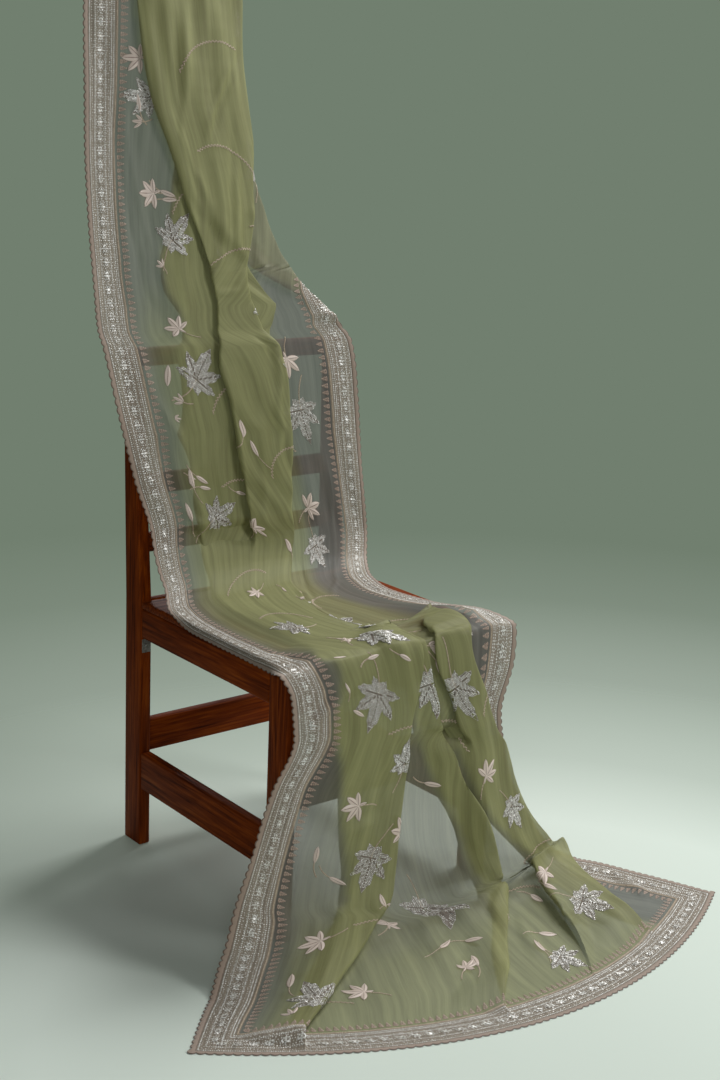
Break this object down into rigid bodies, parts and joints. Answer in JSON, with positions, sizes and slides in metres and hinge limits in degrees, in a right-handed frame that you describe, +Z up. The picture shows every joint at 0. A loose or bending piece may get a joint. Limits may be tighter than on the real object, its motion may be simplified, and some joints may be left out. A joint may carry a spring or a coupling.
{
  "type": "organza saree draped over a wooden chair",
  "caption": "Sheer embroidered organza saree with scalloped borders, hanging from above over a wooden side chair's back and seat, pleated down its front and fanned on the floor",
  "frame": {"origin": "on the floor, under the middle of the whole arrangement", "axes": "+Z up, the chair faces -Y, +X to the right as seen from the front"},
  "size_m": [1.004, 1.0458, 1.5853],
  "materials": {
    "organza": "sheer sage green organza with a fine sheen",
    "border": "organza border worked in silver thread and dusty pink",
    "wood": "dark reddish brown polish",
    "bracket_metal": "zinc plated, dull"
  },
  "bodies": {
    "root": {"cloth_floor": "organza", "cloth_fall": "organza", "cloth_seat": "organza", "cloth_back": "organza", "cloth_upper": "organza", "border_left_floor": "border", "border_left_fall": "border", "border_left_seat": "border", "border_left_back": "border", "border_left_upper": "border", "border_right_floor": "border", "border_right_fall": "border", "border_right_seat": "border", "border_right_back": "border", "border_right_upper": "border", "border_end_hem": "border", "leg_front_left": "wood", "leg_front_right": "wood", "post_back_left": "wood", "post_back_right": "wood", "seat_rail_left": "wood", "seat_rail_right": "wood", "seat_rail_front": "wood", "seat_rail_back": "wood", "seat_board": "wood", "top_rail": "wood", "back_rail_lower": "wood", "back_rail_middle": "wood", "stretcher_front": "wood", "stretcher_left": "wood", "stretcher_right": "wood", "stretcher_back": "wood", "bracket_left": "bracket_metal", "bracket_right": "bracket_metal"}
  },
  "joints": []
}
